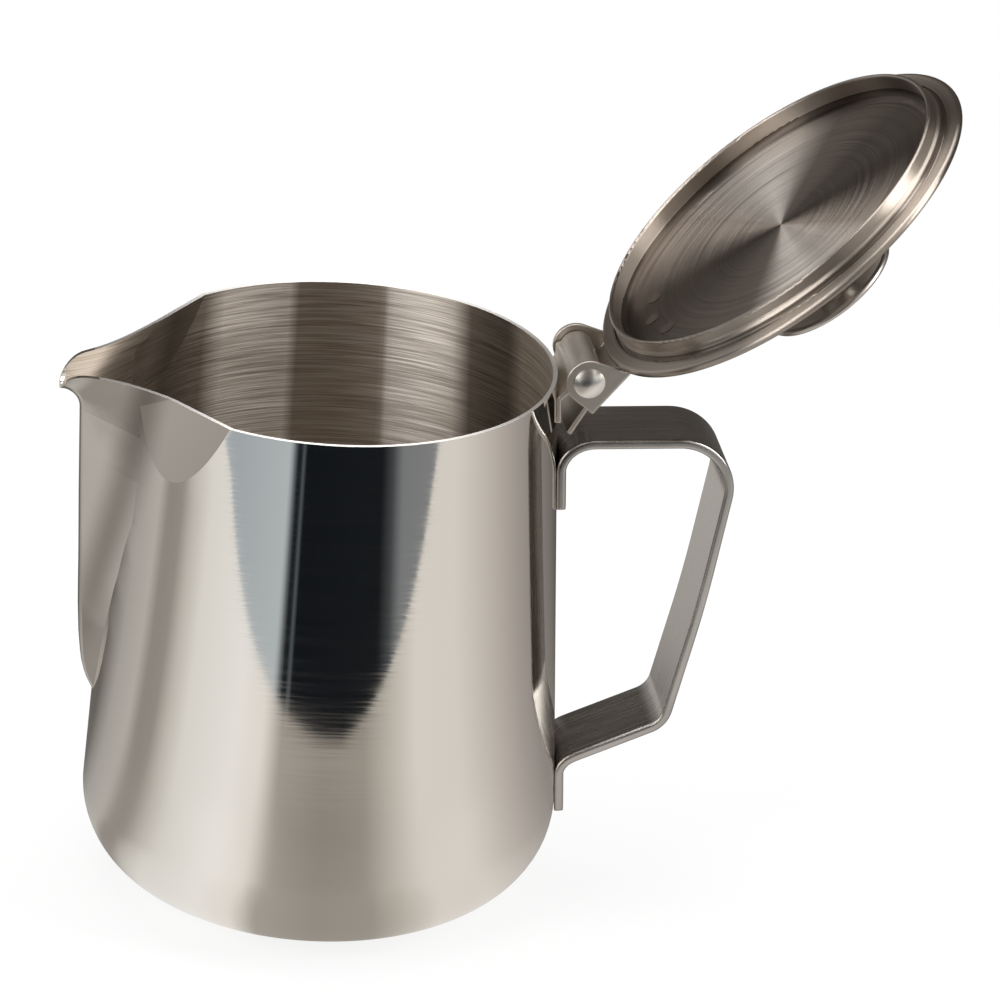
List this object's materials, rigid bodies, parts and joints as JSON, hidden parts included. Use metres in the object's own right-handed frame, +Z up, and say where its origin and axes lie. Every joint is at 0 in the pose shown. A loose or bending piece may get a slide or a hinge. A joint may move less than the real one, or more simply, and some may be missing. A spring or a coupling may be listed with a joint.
{
  "type": "hot milk jug with hinged lid",
  "caption": "Stainless steel pouring jug with a V spout, a bent strip handle and a hinged lid with a knob, lid standing open on its stop.",
  "frame": {"origin": "centre of the jug's base, on the surface it stands on", "axes": "+Z up along the jug's axis, +X towards the handle and the hinge, the spout points to -X"},
  "size_m": [0.1628, 0.09, 0.1583],
  "materials": {
    "satin_steel": "satin, polished after brushing",
    "handle_steel": "brushed faces, polished edges",
    "hinge_steel": "satin",
    "lid_steel": "brushed in circles",
    "polished_steel": "polished stainless steel",
    "weld_steel": "dull spot weld"
  },
  "bodies": {
    "jug": {"jug_shell": "satin_steel", "handle_strap": "handle_steel", "handle_welds": "weld_steel", "hinge_leaf": "hinge_steel", "leaf_welds": "weld_steel"},
    "lid": {"lid_pan": "lid_steel", "lid_bracket": "hinge_steel", "bracket_welds": "weld_steel", "hinge_pin": "polished_steel", "knob_cap": "polished_steel", "knob_stem": "polished_steel", "knob_welds": "weld_steel"}
  },
  "joints": [
    {"name": "lid_hinge", "type": "hinge", "parent": "jug", "child": "lid", "pos_m": [0.045, 0, 0.1038], "axis": [0, -1, 0], "range_deg": [0, 140]}
  ]
}
